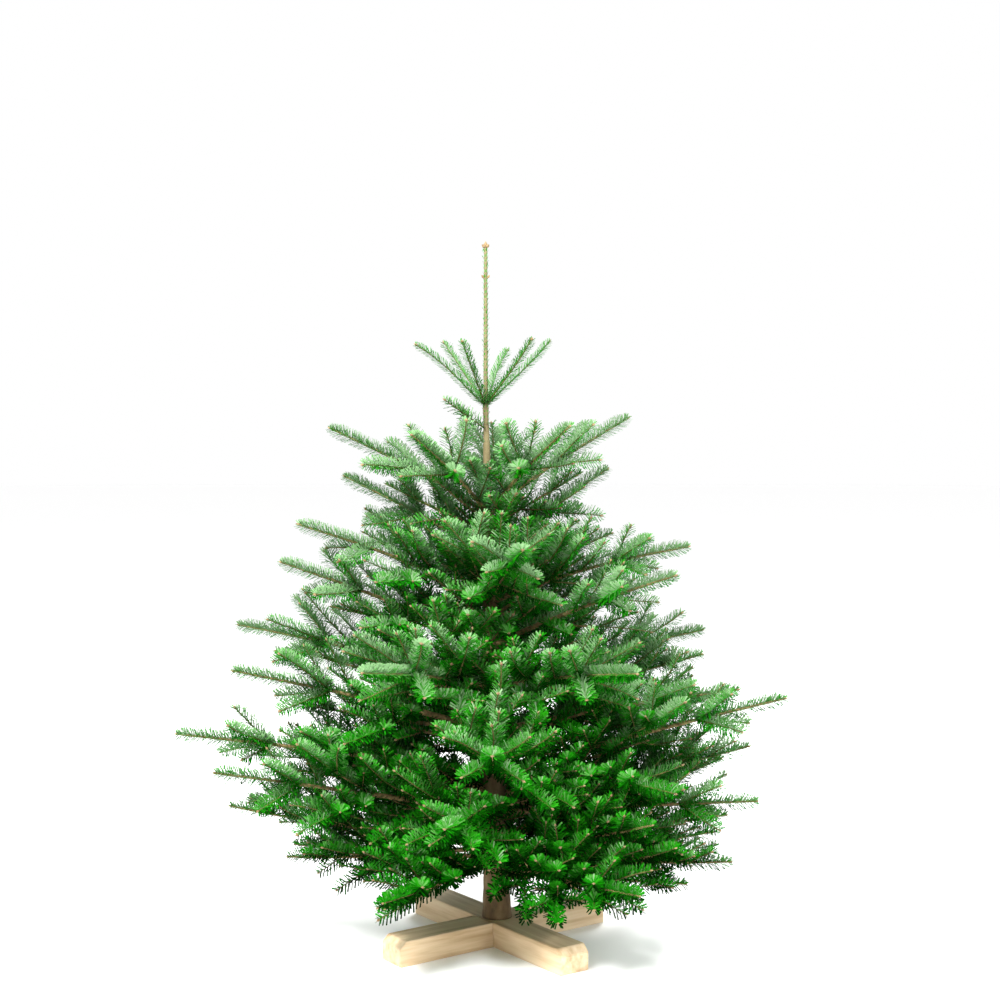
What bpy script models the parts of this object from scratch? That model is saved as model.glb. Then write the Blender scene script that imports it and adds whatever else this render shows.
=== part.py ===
"""A cut fir for Christmas, about 1.25 m from its cut to its tip, on a plain wooden cross stand.

Metres, +Z up. The origin is the middle of the cross's underside, where it stands on the floor.
Azimuths are degrees from +X towards +Y, so -Y is the tree's front and -X its left.
"""

import itertools
import math
import random
from collections import namedtuple

import bmesh
import bpy
from mathutils import Vector
from mathutils.bvhtree import BVHTree

# Trunk and leader, heights above the cut
TREE_HEIGHT = 1.25
TOP_WHORL_HEIGHT = 0.943
LEAN = 0.021
FOOT_RADIUS = 0.0245
FLARE = 0.003
FLARE_HEIGHT = 0.05
WHORL_SWELLING = 0.0013
LEADER_RADIUS = 0.0042
TIP_RADIUS = 0.0030
TOP_BUD_RADIUS = 0.0065
TOP_BUD_LENGTH = 0.014
TRUNK_ROUNDNESS = 3

# Stand
BEAM_LENGTH = 0.46
BEAM_WIDTH = 0.062
BEAM_HEIGHT = 0.044
BEAM_CHAMFER = 0.012
CROSS_TURN = 36.0

# Air between solids, and the least distance that a twig keeps from another solid
GAP = 0.0003
CLEARANCE = 0.0012
CUT_HEIGHT = BEAM_HEIGHT + GAP

# Boughs: a fork stands this far beyond the end of the bare wood
FORK_SETBACK = 0.012
BOUGH_STEP = 0.045
BOUGH_ROUNDNESS = 1
TWIG_RADIUS = 0.0016

# Growth: a year's shoot is longer than the last by this factor, side branches leave at this angle and
# curl up by this much each year, and one without room for its full length is tried shorter. A twig stays
# nearer to its own limb than to any other, clear of the stand, and not too close to its neighbours.
YEARLY_GAIN = 1.10
SIDE_ANGLE = 43.0
CURL = 0.07
SHORTER = (1.0, 0.8, 0.6, 0.42)
SPACE_MARGIN = 0.004
LOWEST = 0.115
CROWDED = 0.0275

# Side branches: how far each is rolled round its limb from straight up, and its length as a share of the
# years that it grows beside
SIDES = ((-60, 0.80), (60, 0.80), (-125, 0.65), (125, 0.65), (0, 0.60))
SIDE_RADIUS = 0.0030

# Sprays of needles: how far each needle stands out, its angle to the twig, and the stretch of twig to each
NEEDLE = 0.041
NEEDLE_SWEEP = 43.0
STATION = 0.049
SHOOT_STATION = 0.035
BUD_LENGTH = 0.010

# A tier is one whorl of branches: its height above the cut, its years of growth and how many of them
# are a bare bough, the azimuths, the reaches to left, right and front or back, the rise in degrees at
# the trunk and at the tip, and how much more the right side rises than the left.
Tier = namedtuple("Tier", "name height years bare azimuths left right depth rise lift")
TIERS = (
    Tier("tier_1", 0.112, 4, 1, (238, 306, 18, 92, 164), 0.41, 0.45, 0.38, (-4, 5), 4),
    Tier("tier_2", 0.262, 4, 1, (268, 340, 50, 122, 192), 0.59, 0.55, 0.47, (16, 13), 7),
    Tier("tier_3", 0.420, 3, 1, (240, 306, 14, 86, 170), 0.50, 0.43, 0.42, (16, 8), 0),
    Tier("tier_4", 0.580, 3, 0, (278, 350, 62, 134, 198), 0.37, 0.375, 0.34, (26, 13), -8),
    Tier("tier_5", 0.745, 2, 0, (304, 4, 84, 182, 243), 0.300, 0.270, 0.26, (36, 26), 8),
    Tier("internode_1", 0.190, 4, 0, (202, 262, 350), 0.54, 0.49, 0.42, (9, 7), -6),
    Tier("internode_2", 0.342, 3, 0, (194, 346), 0.49, 0.46, 0.42, (17, 12), -4),
    Tier("internode_3", 0.500, 3, 0, (198, 332), 0.40, 0.39, 0.36, (25, 18), 0),
    Tier("internode_4", 0.665, 2, 0, (160, 24), 0.300, 0.25, 0.25, (34, 26), 6),
)
WHORLS = [tier.height for tier in TIERS if tier.name.startswith("tier")] + [TOP_WHORL_HEIGHT]
TOP_SHOOTS = 6
TOP_SHOOT_LENGTH = 0.180
TOP_SHOOT_RISE = 42.0
TOP_SHOOT_AZIMUTH = 12.0
SHOOT_RADIUS = 0.0022
# Azimuth, height above the cut, length and rise of the loose shoots below the top whorl
SIDE_SHOOTS = ((198, 0.900, 0.105, 34.0), (142, 0.868, 0.110, 46.0))

BARK = ("bark", (0.20, 0.13, 0.075), 0.85)
TWIG = ("twig", (0.26, 0.17, 0.08), 0.8)
NEEDLES = ("needles", (0.075, 0.20, 0.045), 0.5)
TIMBER = ("timber", (0.62, 0.46, 0.28), 0.6)


def clear_scene():
    for old in list(bpy.data.objects):
        bpy.data.objects.remove(old, do_unlink=True)


def material(look):
    """A Principled material of that name, colour and roughness, made once."""
    name, colour, roughness = look
    made = bpy.data.materials.get(name)
    if made is None:
        made = bpy.data.materials.new(name)
        made.use_nodes = True
        shader = made.node_tree.nodes["Principled BSDF"]
        shader.inputs["Base Color"].default_value = (*colour, 1)
        shader.inputs["Roughness"].default_value = roughness
        made.diffuse_color = (*colour, 1)
    return made


def add_object(name, data, look, collection):
    made = bpy.data.objects.new(name, data)
    collection.objects.link(made)
    data.materials.clear()
    data.materials.append(material(look))
    return made


def applied(source, name, look, collection):
    """The shape that source has with its modifiers, as a plain mesh object; source is removed."""
    bpy.context.view_layer.update()
    graph = bpy.context.evaluated_depsgraph_get()
    mesh = bpy.data.meshes.new_from_object(source.evaluated_get(graph))
    bm = bmesh.new()
    bm.from_mesh(mesh)
    bmesh.ops.remove_doubles(bm, verts=bm.verts, dist=1e-6)
    bm.to_mesh(mesh)
    bm.free()
    bpy.data.objects.remove(source, do_unlink=True)
    return add_object(name, mesh, look, collection)


def cut(target, cutter):
    modifier = target.modifiers.new("cut", "BOOLEAN")
    modifier.operation = "DIFFERENCE"
    modifier.solver = "EXACT"
    modifier.object = cutter


def tapered_tube(name, points, radii, roundness, look, collection):
    """A round limb through points, with a radius at each."""
    curve = bpy.data.curves.new(name, "CURVE")
    curve.dimensions = "3D"
    curve.bevel_depth = 1.0
    curve.bevel_resolution = roundness
    curve.use_fill_caps = True
    spline = curve.splines.new("POLY")
    spline.points.add(len(points) - 1)
    for knot, point, radius in zip(spline.points, points, radii):
        knot.co = (*point, 1)
        knot.radius = radius
    source = bpy.data.objects.new(name + "_line", curve)
    collection.objects.link(source)
    return applied(source, name, look, collection)


# The trunk

def trunk_axis(height):
    """The trunk's centre at a height above the cut: it leans to its top whorl, and its leader is upright."""
    return Vector((-LEAN * min(1.0, height / TOP_WHORL_HEIGHT), 0, CUT_HEIGHT + height))


def trunk_radius(height):
    """A taper below the top whorl and a gentler one above, a knot at each whorl and a flare at the foot."""
    if height >= TOP_WHORL_HEIGHT:
        share = (height - TOP_WHORL_HEIGHT) / (TREE_HEIGHT - TOP_WHORL_HEIGHT)
        wood = LEADER_RADIUS + (TIP_RADIUS - LEADER_RADIUS) * share
    else:
        share = (1 - height / TOP_WHORL_HEIGHT) ** 0.92
        wood = LEADER_RADIUS + (FOOT_RADIUS - LEADER_RADIUS) * share
    nearest = min(abs(height - whorl) for whorl in WHORLS)
    knot = WHORL_SWELLING * math.exp(-((nearest / 0.015) ** 2))
    return wood + knot + FLARE * math.exp(-height / FLARE_HEIGHT)


def trunk_heights():
    """Heights of the trunk's rings: its foot, below, at and above each whorl, and its leader."""
    heights = [0.0, 0.012, 0.04]
    for whorl in WHORLS:
        heights += [whorl - 0.025, whorl, whorl + 0.025]
    return heights + [TREE_HEIGHT - TOP_BUD_LENGTH]


def make_trunk(name, extra, collection):
    """The trunk with its leader and top bud, thicker all round by extra."""
    heights = trunk_heights()
    points = [trunk_axis(h) for h in heights]
    radii = [trunk_radius(h) + extra for h in heights]
    points[1].x = points[0].x
    for share, girth in ((0.35, 1.0), (0.7, 0.8), (1.0, 0.25)):
        points.append(trunk_axis(TREE_HEIGHT - TOP_BUD_LENGTH * (1 - share)))
        radii.append(TOP_BUD_RADIUS * girth + extra)
    return tapered_tube(name, points, radii, TRUNK_ROUNDNESS, BARK, collection)


# The stand

def box(name, size, middle, collection):
    bm = bmesh.new()
    bmesh.ops.create_cube(bm, size=1)
    bmesh.ops.scale(bm, verts=bm.verts, vec=size)
    bmesh.ops.translate(bm, verts=bm.verts, vec=middle)
    mesh = bpy.data.meshes.new(name)
    bm.to_mesh(mesh)
    bm.free()
    return add_object(name, mesh, TIMBER, collection)


def make_beam(name, azimuth, notch_side, collection, helpers):
    """One timber of the cross, with sloped ends and half its height notched: +1 from above, -1 from below."""
    bar = box(name + "_bar", (BEAM_LENGTH, BEAM_WIDTH, BEAM_HEIGHT), (0, 0, BEAM_HEIGHT / 2), collection)
    bm = bmesh.new()
    bm.from_mesh(bar.data)
    top_ends = [
        edge
        for edge in bm.edges
        if min(v.co.z for v in edge.verts) > BEAM_HEIGHT / 2
        and abs(edge.verts[0].co.x - edge.verts[1].co.x) < BEAM_WIDTH / 2
    ]
    bmesh.ops.bevel(bm, geom=top_ends, offset=BEAM_CHAMFER, segments=1, affect="EDGES")
    bm.to_mesh(bar.data)
    bm.free()
    floor_of_notch = BEAM_HEIGHT / 2 - notch_side * GAP / 2
    notch_size = (BEAM_WIDTH + 2 * GAP, BEAM_WIDTH * 1.5, BEAM_HEIGHT)
    notch_middle = (0, 0, floor_of_notch + notch_side * BEAM_HEIGHT / 2)
    cut(bar, box(name + "_notch", notch_size, notch_middle, helpers))
    made = applied(bar, name, TIMBER, collection)
    made.rotation_euler.z = math.radians(azimuth)


# How a limb grows

def reach_of(tier, azimuth):
    """How far a branch of this tier reaches at an azimuth."""
    across = math.cos(math.radians(azimuth))
    side = tier.right if across > 0 else tier.left
    return tier.depth + (side - tier.depth) * across * across


def year_shares(years):
    """The shares of a limb's length that grew year by year, oldest first."""
    weights = [YEARLY_GAIN**year for year in range(years)]
    return [weight / sum(weights) for weight in weights]


def heading_of(azimuth, rise):
    level = math.cos(math.radians(rise))
    turn = math.radians(azimuth)
    return Vector((math.cos(turn) * level, math.sin(turn) * level, math.sin(math.radians(rise))))


def limb_line(tier, number):
    """The yearly nodes of one branch of a tier, from the trunk's axis to its tip."""
    rng = random.Random(f"{tier.name} {number}")
    azimuth = tier.azimuths[number] + rng.uniform(-3, 3)
    lift = tier.lift * math.cos(math.radians(azimuth)) / 2 + rng.uniform(-1.5, 1.5)
    root_rise, tip_rise = tier.rise
    shares = year_shares(tier.years)
    rises = [
        root_rise + (tip_rise - root_rise) * (year + 0.5) / tier.years + lift for year in range(tier.years)
    ]
    level = sum(share * math.cos(math.radians(rise)) for share, rise in zip(shares, rises))
    length = (reach_of(tier, azimuth) - BUD_LENGTH) / level
    points = [trunk_axis(tier.height)]
    for share, rise in zip(shares, rises):
        points.append(points[-1] + heading_of(azimuth, rise) * length * share)
    return points


def upward(heading):
    """The direction square to a heading that rises most."""
    return heading.cross(Vector((0, 0, 1))).cross(heading).normalized()


def side_branch(line, node, roll, share, up, rng):
    """The yearly nodes of a branch that leaves a line at a node, rolled round it from straight up."""
    ahead = (line[node + 1] - line[node]).normalized()
    turn = math.radians(roll + rng.uniform(-12, 12))
    out = up * math.cos(turn) + ahead.cross(up) * math.sin(turn)
    angle = math.radians(SIDE_ANGLE + rng.uniform(-6, 6))
    heading = ahead * math.cos(angle) + out.normalized() * math.sin(angle)
    share *= rng.uniform(0.9, 1.08)
    points = [line[node].copy()]
    for a, b in zip(line[node:], line[node + 1 :]):
        points.append(points[-1] + heading * (b - a).length * share)
        heading = (heading + up * CURL).normalized()
    return points


def distance_to_line(point, line):
    nearest = math.inf
    for a, b in zip(line, line[1:]):
        along = b - a
        share = max(0.0, min(1.0, (point - a).dot(along) / along.length_squared))
        nearest = min(nearest, (point - a - along * share).length)
    return nearest


def keeps_to_space(points, line, other_lines):
    """Whether every point is above the stand and nearer to its own limb's line than to any other."""
    if min(point.z for point in points) < LOWEST:
        return False
    for point in points:
        own = distance_to_line(point, line) + SPACE_MARGIN
        if any(distance_to_line(point, other) < own for other in other_lines):
            return False
    return True


# Sprays of needles

def resampled(points, spacing):
    """Points at even distances along a line, about the spacing apart, its own ends kept."""
    lengths = [(b - a).length for a, b in zip(points, points[1:])]
    count = max(1, round(sum(lengths) / spacing))
    made = [points[0].copy()]
    for i in range(1, count):
        goal = sum(lengths) * i / count
        for a, b, length in zip(points, points[1:], lengths):
            if goal <= length:
                made.append(a.lerp(b, goal / length))
                break
            goal -= length
    return made + [points[-1].copy()]


def frame_at(points, i, up):
    """The directions along, across and above a line at its point i."""
    along = (points[min(i + 1, len(points) - 1)] - points[max(i - 1, 0)]).normalized()
    across = along.cross(up).normalized()
    return along, across, across.cross(along)


def spray(points, up, root_radius, tip_radius, bare):
    """A three-sided twig along points, each side of each stretch drawn out to a needle, with a bud at its tip.

    The twig's ring has one corner below, so its needles stand out above, to the left and to the right,
    the upper ones shorter. The first bare stretches have none.
    """
    bm = bmesh.new()
    corners = [math.radians(a) for a in (-90, 30, 150)]
    rows = [(math.radians(a), reach * NEEDLE) for a, reach in ((-28, 1.0), (90, 0.8), (208, 1.0))]
    sweep = math.radians(NEEDLE_SWEEP)
    last = len(points) - 1
    rings = []
    for i, point in enumerate(points):
        _, across, above = frame_at(points, i, up)
        radius = root_radius + (tip_radius - root_radius) * i / last
        rings.append([bm.verts.new(point + (across * math.cos(c) + above * math.sin(c)) * radius) for c in corners])
    bm.faces.new(rings[0])
    for i, (ring, after) in enumerate(zip(rings, rings[1:])):
        along, across, above = frame_at(points, i, up)
        for j, (row, reach) in enumerate(rows):
            k = (j + 1) % 3
            side = (ring[k], ring[j], after[j], after[k])
            if i < bare:
                bm.faces.new(side)
                continue
            middle = sum((v.co for v in side), Vector()) / 4
            out = across * math.cos(row) + above * math.sin(row)
            tip = bm.verts.new(middle + (out * math.sin(sweep) + along * math.cos(sweep)) * reach)
            for a, b in zip(side, side[1:] + side[:1]):
                bm.faces.new((a, b, tip))
    bud = bm.verts.new(points[-1] + frame_at(points, last, up)[0] * BUD_LENGTH)
    for j in range(3):
        bm.faces.new((rings[-1][(j + 1) % 3], rings[-1][j], bud))
    bmesh.ops.recalc_face_normals(bm, faces=bm.faces)
    bmesh.ops.triangulate(bm, faces=bm.faces)
    mesh = bpy.data.meshes.new("spray")
    bm.to_mesh(mesh)
    bm.free()
    return mesh


def surface_of(mesh):
    return BVHTree.FromPolygons([v.co for v in mesh.vertices], [tuple(p.vertices) for p in mesh.polygons])


def touches(mesh, taken):
    """Whether a mesh meets, or comes within the clearance of, any solid already in place."""
    own = surface_of(mesh)
    for other in taken:
        if own.overlap(other):
            return True
        if any(other.find_nearest(v.co, CLEARANCE)[0] is not None for v in mesh.vertices):
            return True
    return False


def crowded(points, neighbours):
    """Whether a branch comes close to any of its neighbours on the same stem."""
    middles = [a.lerp(b, 0.5) for a, b in zip(points, points[1:])]
    return any(distance_to_line(p, line) < CROWDED for p in middles + points[1:] for line in neighbours)


def grow_sprays(name, stem, up, own_line, other_lines, taken):
    """The sprays of a stem's side branches, left out where they would leave their space."""
    sprays = []
    grown = []
    for node, side in itertools.product(range(1, len(stem) - 1), range(len(SIDES))):
        roll, share = SIDES[side]
        for shorter in SHORTER:
            rng = random.Random(f"{name} {node}{side}")
            points = side_branch(stem, node, roll, share * shorter, up, rng)
            if crowded(points, grown) or not keeps_to_space(points[1:], own_line, other_lines):
                continue
            mesh = spray(resampled(points, STATION), up, SIDE_RADIUS, TWIG_RADIUS, 0)
            if touches(mesh, taken):
                continue
            sprays.append(mesh)
            grown.append(points)
            break
    return sprays


def make_mass(name, stem_mesh, side_meshes, cutter, taken, collection):
    """One mass of foliage: its stem and side sprays joined by a union, cut clear of the trunk."""
    stem = add_object(name + "_stem", stem_mesh, NEEDLES, collection)
    parts = bpy.data.collections.new(name + "_parts")
    bpy.context.scene.collection.children.link(parts)
    for i, mesh in enumerate(side_meshes):
        add_object(f"{name}_part_{i}", mesh, NEEDLES, parts)
    if side_meshes:
        join = stem.modifiers.new("join", "BOOLEAN")
        join.operation = "UNION"
        join.solver = "MANIFOLD"
        join.operand_type = "COLLECTION"
        join.collection = parts
    if cutter:
        cut(stem, cutter)
    made = applied(stem, name, NEEDLES, collection)
    for part in list(parts.objects):
        bpy.data.objects.remove(part, do_unlink=True)
    bpy.data.collections.remove(parts)
    taken.append(surface_of(made.data))


def bough_radius(share, length):
    """A bough's radius at a share of its length: thicker on a longer bough, and slim at the tip."""
    root = 0.0014 + 0.0105 * length
    return root + (TWIG_RADIUS - root) * share**0.85


def make_bough(name, line, bare, cutter, taken, collection):
    """The bare wood of one bough, from its seat on the trunk to just before its first fork.

    Returns where it ends and its radius there.
    """
    total = sum((b - a).length for a, b in zip(line, line[1:]))
    before_fork = line[bare] + (line[bare - 1] - line[bare]).normalized() * FORK_SETBACK
    points = resampled([*line[:bare], before_fork], BOUGH_STEP)
    bare_share = sum((b - a).length for a, b in zip(points, points[1:])) / total
    last = len(points) - 1
    radii = [bough_radius(bare_share * i / last, total) for i in range(last + 1)]
    limb = tapered_tube(name + "_limb", points, radii, BOUGH_ROUNDNESS, TWIG, collection)
    cut(limb, cutter)
    made = applied(limb, name, TWIG, collection)
    taken.append(surface_of(made.data))
    return points[-1], radii[-1]


def make_foliage(name, tier, line, fork, other_lines, cutter, taken, collection):
    """The foliage of one branch, from its bough's end or, without a bare bough, from the trunk."""
    heading = (line[1] - line[0]).normalized()
    up = upward(heading)
    if fork:
        end, radius = fork
        start = end + heading * GAP
        stem_line = [start, *line[tier.bare :]]
        stem_points = [start, *resampled(stem_line[1:], STATION)]
        cutter = None
    else:
        radius = bough_radius(0, (line[-1] - line[0]).length)
        stem_line = line
        stem_points = resampled(line, STATION)
    stem = spray(stem_points, up, radius, TWIG_RADIUS, 1)
    sides = grow_sprays(name, stem_line, up, line, other_lines, taken)
    make_mass(name, stem, sides, cutter, taken, collection)


def make_shoot(name, azimuth, height, length, rise, cutter, taken, collection):
    """One of this year's shoots on the trunk, a single spray."""
    start = trunk_axis(height)
    heading = heading_of(azimuth, rise)
    points = resampled([start, start + heading * (length - BUD_LENGTH)], SHOOT_STATION)
    mesh = spray(points, upward(heading), SHOOT_RADIUS, TWIG_RADIUS, 1)
    make_mass(name, mesh, [], cutter, taken, collection)


def make_tree(tree, helpers):
    trunk = make_trunk("trunk", 0.0, tree)
    room = make_trunk("trunk_room", GAP, helpers)
    taken = [surface_of(trunk.data)]
    lines = {(tier, i): limb_line(tier, i) for tier in TIERS for i in range(len(tier.azimuths))}
    forks = {}
    for (tier, i), line in lines.items():
        if tier.bare:
            name = f"{tier.name}_bough_{i + 1}"
            forks[tier, i] = make_bough(name, line, tier.bare, room, taken, tree)
    for (tier, i), line in lines.items():
        name = f"{tier.name}_foliage_{i + 1}"
        others = [other for key, other in lines.items() if key != (tier, i)]
        make_foliage(name, tier, line, forks.get((tier, i)), others, room, taken, tree)
    for i in range(TOP_SHOOTS):
        azimuth = TOP_SHOOT_AZIMUTH + 360 / TOP_SHOOTS * i
        rise = TOP_SHOOT_RISE + random.Random(i).uniform(-3, 4)
        name = f"top_shoot_{i + 1}"
        make_shoot(name, azimuth, TOP_WHORL_HEIGHT, TOP_SHOOT_LENGTH, rise, room, taken, tree)
    for i, (azimuth, height, length, rise) in enumerate(SIDE_SHOOTS):
        make_shoot(f"side_shoot_{i + 1}", azimuth, height, length, rise, room, taken, tree)


def main():
    clear_scene()
    tree = bpy.data.collections.new("christmas_fir")
    helpers = bpy.data.collections.new("helpers")
    bpy.context.scene.collection.children.link(tree)
    bpy.context.scene.collection.children.link(helpers)
    make_beam("cross_beam_lower", CROSS_TURN, 1, tree, helpers)
    make_beam("cross_beam_upper", CROSS_TURN + 90, -1, tree, helpers)
    make_tree(tree, helpers)
    for helper in helpers.objects:
        helper.hide_render = True
        helper.display_type = "WIRE"


main()
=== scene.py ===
"""The looks of a cut fir on a wooden cross stand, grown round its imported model.

Metres, +Z up, in the model's frame: the floor is z = 0, and -Y is the side that the photograph shows.
The limbs are the model's own, with weaker ones between them. Twigs and needles grow on from them by the
same seeded rule, carried to finer twigs. Azimuths are degrees from +X towards +Y.
"""

import random
from collections import namedtuple
from math import atan2, cos, exp, hypot, pi, radians, sin

import bmesh
import bpy
import numpy as np
from mathutils import Matrix, Vector, noise
from mathutils.kdtree import KDTree


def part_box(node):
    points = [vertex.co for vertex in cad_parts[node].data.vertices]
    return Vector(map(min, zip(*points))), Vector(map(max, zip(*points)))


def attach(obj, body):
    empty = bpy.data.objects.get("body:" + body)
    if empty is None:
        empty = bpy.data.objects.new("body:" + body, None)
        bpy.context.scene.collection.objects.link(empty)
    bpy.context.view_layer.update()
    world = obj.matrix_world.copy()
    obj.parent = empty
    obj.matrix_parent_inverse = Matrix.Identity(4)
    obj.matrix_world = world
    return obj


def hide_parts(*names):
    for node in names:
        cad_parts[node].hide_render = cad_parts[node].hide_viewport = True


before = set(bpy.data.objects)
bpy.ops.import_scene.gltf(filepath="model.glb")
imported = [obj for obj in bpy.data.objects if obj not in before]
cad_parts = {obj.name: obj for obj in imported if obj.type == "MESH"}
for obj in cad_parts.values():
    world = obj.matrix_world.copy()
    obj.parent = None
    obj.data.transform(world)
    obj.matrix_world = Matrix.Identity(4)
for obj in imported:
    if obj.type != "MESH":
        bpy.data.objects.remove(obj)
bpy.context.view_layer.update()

# Trunk and leader, heights above the cut, as in the model
CUT_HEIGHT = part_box("trunk")[0].z
TREE_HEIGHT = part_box("trunk")[1].z - CUT_HEIGHT
TOP_WHORL_HEIGHT = 0.943
LEAN = 0.021
FOOT_RADIUS = 0.0245
TAPER = 0.92
FLARE = 0.003
FLARE_HEIGHT = 0.05
WHORL_SWELLING = 0.0013
WHORL_SWELLING_HEIGHT = 0.015
LEADER_RADIUS = 0.0042
TIP_RADIUS = 0.0030

# Boughs, as in the model: the root's radius, what a metre of length adds to it, and the taper
BOUGH_RADIUS = 0.0014
BOUGH_GAIN = 0.0105
BOUGH_TAPER = 0.85
TWIG_RADIUS = 0.0016

# Growth, as in the model. Seeded draws move angles and shares within the spreads. A side branch is its roll
# round the parent and its share of the parent's growth.
YEARLY_GAIN = 1.10
AZIMUTH_SPREAD = 3
LIFT_SPREAD = 1.5
SIDE_ANGLE = 43.0
ANGLE_SPREAD = 6
ROLL_SPREAD = 12
SHARE_SPREAD = (0.9, 1.08)
CURL = 0.07
BUD_LENGTH = 0.010
SIDES = ((-60, 0.80), (60, 0.80), (-125, 0.65), (125, 0.65), (0, 0.60))
Tier = namedtuple("Tier", "name height years bare azimuths left right depth rise lift")
TIERS = (
    Tier("tier_1", 0.112, 4, 1, (238, 306, 18, 92, 164), 0.41, 0.45, 0.38, (-4, 5), 4),
    Tier("tier_2", 0.262, 4, 1, (268, 340, 50, 122, 192), 0.59, 0.55, 0.47, (16, 13), 7),
    Tier("tier_3", 0.420, 3, 1, (240, 306, 14, 86, 170), 0.50, 0.43, 0.42, (16, 8), 0),
    Tier("tier_4", 0.580, 3, 0, (278, 350, 62, 134, 198), 0.37, 0.375, 0.34, (26, 13), -8),
    Tier("tier_5", 0.745, 2, 0, (304, 4, 84, 182, 243), 0.300, 0.270, 0.26, (36, 26), 8),
    Tier("internode_1", 0.190, 4, 0, (202, 262, 350), 0.54, 0.49, 0.42, (9, 7), -6),
    Tier("internode_2", 0.342, 3, 0, (194, 346), 0.49, 0.46, 0.42, (17, 12), -4),
    Tier("internode_3", 0.500, 3, 0, (198, 332), 0.40, 0.39, 0.36, (25, 18), 0),
    Tier("internode_4", 0.665, 2, 0, (160, 24), 0.300, 0.25, 0.25, (34, 26), 6),
)
WHORLS = [tier.height for tier in TIERS if tier.name.startswith("tier")] + [TOP_WHORL_HEIGHT]
TOP_SHOOTS = 6
TOP_SHOOT_LENGTH = 0.180
TOP_SHOOT_RISE = 42.0
TOP_SHOOT_SPREAD = (-3, 4)
TOP_SHOOT_AZIMUTH = 12.0
SIDE_SHOOTS = ((198, 0.900, 0.105, 34.0), (142, 0.868, 0.110, 46.0))

# Finer twigs: the side branches of side branches, and the small ones between yearly nodes. Those are given
# by where along the year's growth they start and by their roll, and the earliest grow least.
FINER_SIDES = ((-65, 0.95), (65, 0.95), (0, 0.80))
BETWEEN = ((0.30, -60), (0.50, 55), (0.70, -10), (0.88, 75))
BETWEEN_SHARE = 0.95
BETWEEN_EARLIEST = 0.6
ORDERS = 3
WOBBLE = 0.03

# Room: a branch that finds none is tried again shorter. It keeps off its neighbours by the distance for its
# order, and may pass the border of its limb's space a little. High limbs have no finer twigs that stand up.
SHORTER = (1.0, 0.8, 0.62)
SHORTEST = 0.055
CROWDED = {1: 0.020, 2: 0.018, 3: 0.018}
SPACE_OVERLAP = 0.012
HIGH = 0.60
STANDING_ROLL = 30

# How low above the floor twigs hang. A strip in front of the trunk is trimmed higher, so that the foot
# shows: half its width, its height at the trunk, and how fast it rises forward.
LOWEST = 0.088
TRIMMED_WIDTH = 0.045
TRIMMED_HEIGHT = 0.090
TRIMMED_SLOPE = 0.20

# Side twigs that the tree has lost, where the photograph shows sky: their places in the limb's growth
LOST_TWIGS = {
    "tier_5_foliage_1": (1,),
    "tier_5_foliage_2": (4,),
    "tier_5_foliage_4": (1, 2, 5),
    "tier_4_foliage_5": (4, 5, 8),
    "tier_2_foliage_5": (6, 13),
}

# Weak boughs between the whorls, where the photograph shows the crown full: azimuth, height above the cut,
# reach and rise
WEAK_BOUGHS = (
    (356, 0.100, 0.35, -9),
    (350, 0.125, 0.43, -5),
    (186, 0.130, 0.38, -5),
    (182, 0.145, 0.49, 3),
    (8, 0.155, 0.44, -2),
    (20, 0.150, 0.48, 9),
    (128, 0.200, 0.42, 2),
    (2, 0.225, 0.48, 6),
    (184, 0.235, 0.38, 3),
    (12, 0.300, 0.44, 8),
    (104, 0.325, 0.36, 4),
    (178, 0.345, 0.37, 4),
    (168, 0.410, 0.36, 7),
    (5, 0.400, 0.40, 8),
    (74, 0.475, 0.30, 8),
    (176, 0.520, 0.30, 7),
    (66, 0.560, 0.24, 6),
    (34, 0.552, 0.23, 9),
    (14, 0.620, 0.25, 18),
    (172, 0.710, 0.21, 23),
    (10, 0.720, 0.20, 28),
)
WEAK_CURL = 0.03

# Small branches that leave the trunk between its whorls, each turned on from the last by the golden angle.
# They reach a share of the crown's radius, which widens downward, and rise more higher up. Seeded draws
# move their height, reach, azimuth and rise.
TRUNK_SHOOTS = 50
TRUNK_SHOOTS_FROM = 0.062
TRUNK_SHOOT_STEP = 0.0145
TRUNK_SHOOT_SHARE = 0.72
TRUNK_SHOOT_RISE = (4.0, 44.0)
TRUNK_SHOOT_SPREADS = ((-0.006, 0.006), (0.75, 1.1), (-15, 15), (-5, 5))
GOLDEN_ANGLE = 137.508
YEAR_LENGTH = 0.085
CROWN_TOP_RADIUS = 0.09
CROWN_GAIN = 0.46
CLEARANCE = 0.005

# Wood: steps along its curves and sides round them, and a twig's radius by its years and its order
TRUNK_STEP = 0.005
TRUNK_SIDES = 40
LIMB_STEP = 0.009
LIMB_SIDES = 8
TWIG_STEP = 0.026
TWIG_SIDES = {1: 5, 2: 4, 3: 4}
TWIG_TAPER = 0.6
TWIG_GIRTH = 0.50
YEARLY_GIRTH = 0.36
ORDER_GIRTH = (1.12, 0.08)

# Bark relief: depth, the size of its features and its noise's seed. On a limb the depth is a share of its
# radius. Folds run along the trunk and wrinkles round it, so their noise is stretched.
Relief = namedtuple("Relief", "depth size seed")
FOLDS = Relief(0.0009, 0.007, 3)
WRINKLES = Relief(0.0005, 0.004, 9)
BLISTERS = Relief(0.002, 0.009, 5)
LIMB_FOLDS = Relief(0.10, 0.006, 4)
LIMB_WRINKLES = Relief(0.06, 0.0025, 8)
FOLD_STRETCH = 0.35
WRINKLE_STRETCH = 0.4
BLISTERS_FROM = 0.35
SMOOTHING = 1.3

# A collar stands round each limb on the trunk, in radii of the limb, and the limb swells towards the trunk
COLLAR_HEIGHT = 0.45
COLLAR_WIDTH = 1.5
COLLAR_REACH = 3.5
COLLAR_NEAR = 0.05
LIMB_SWELLING = 0.35
LIMB_SWELLING_LENGTH = 0.02

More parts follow.
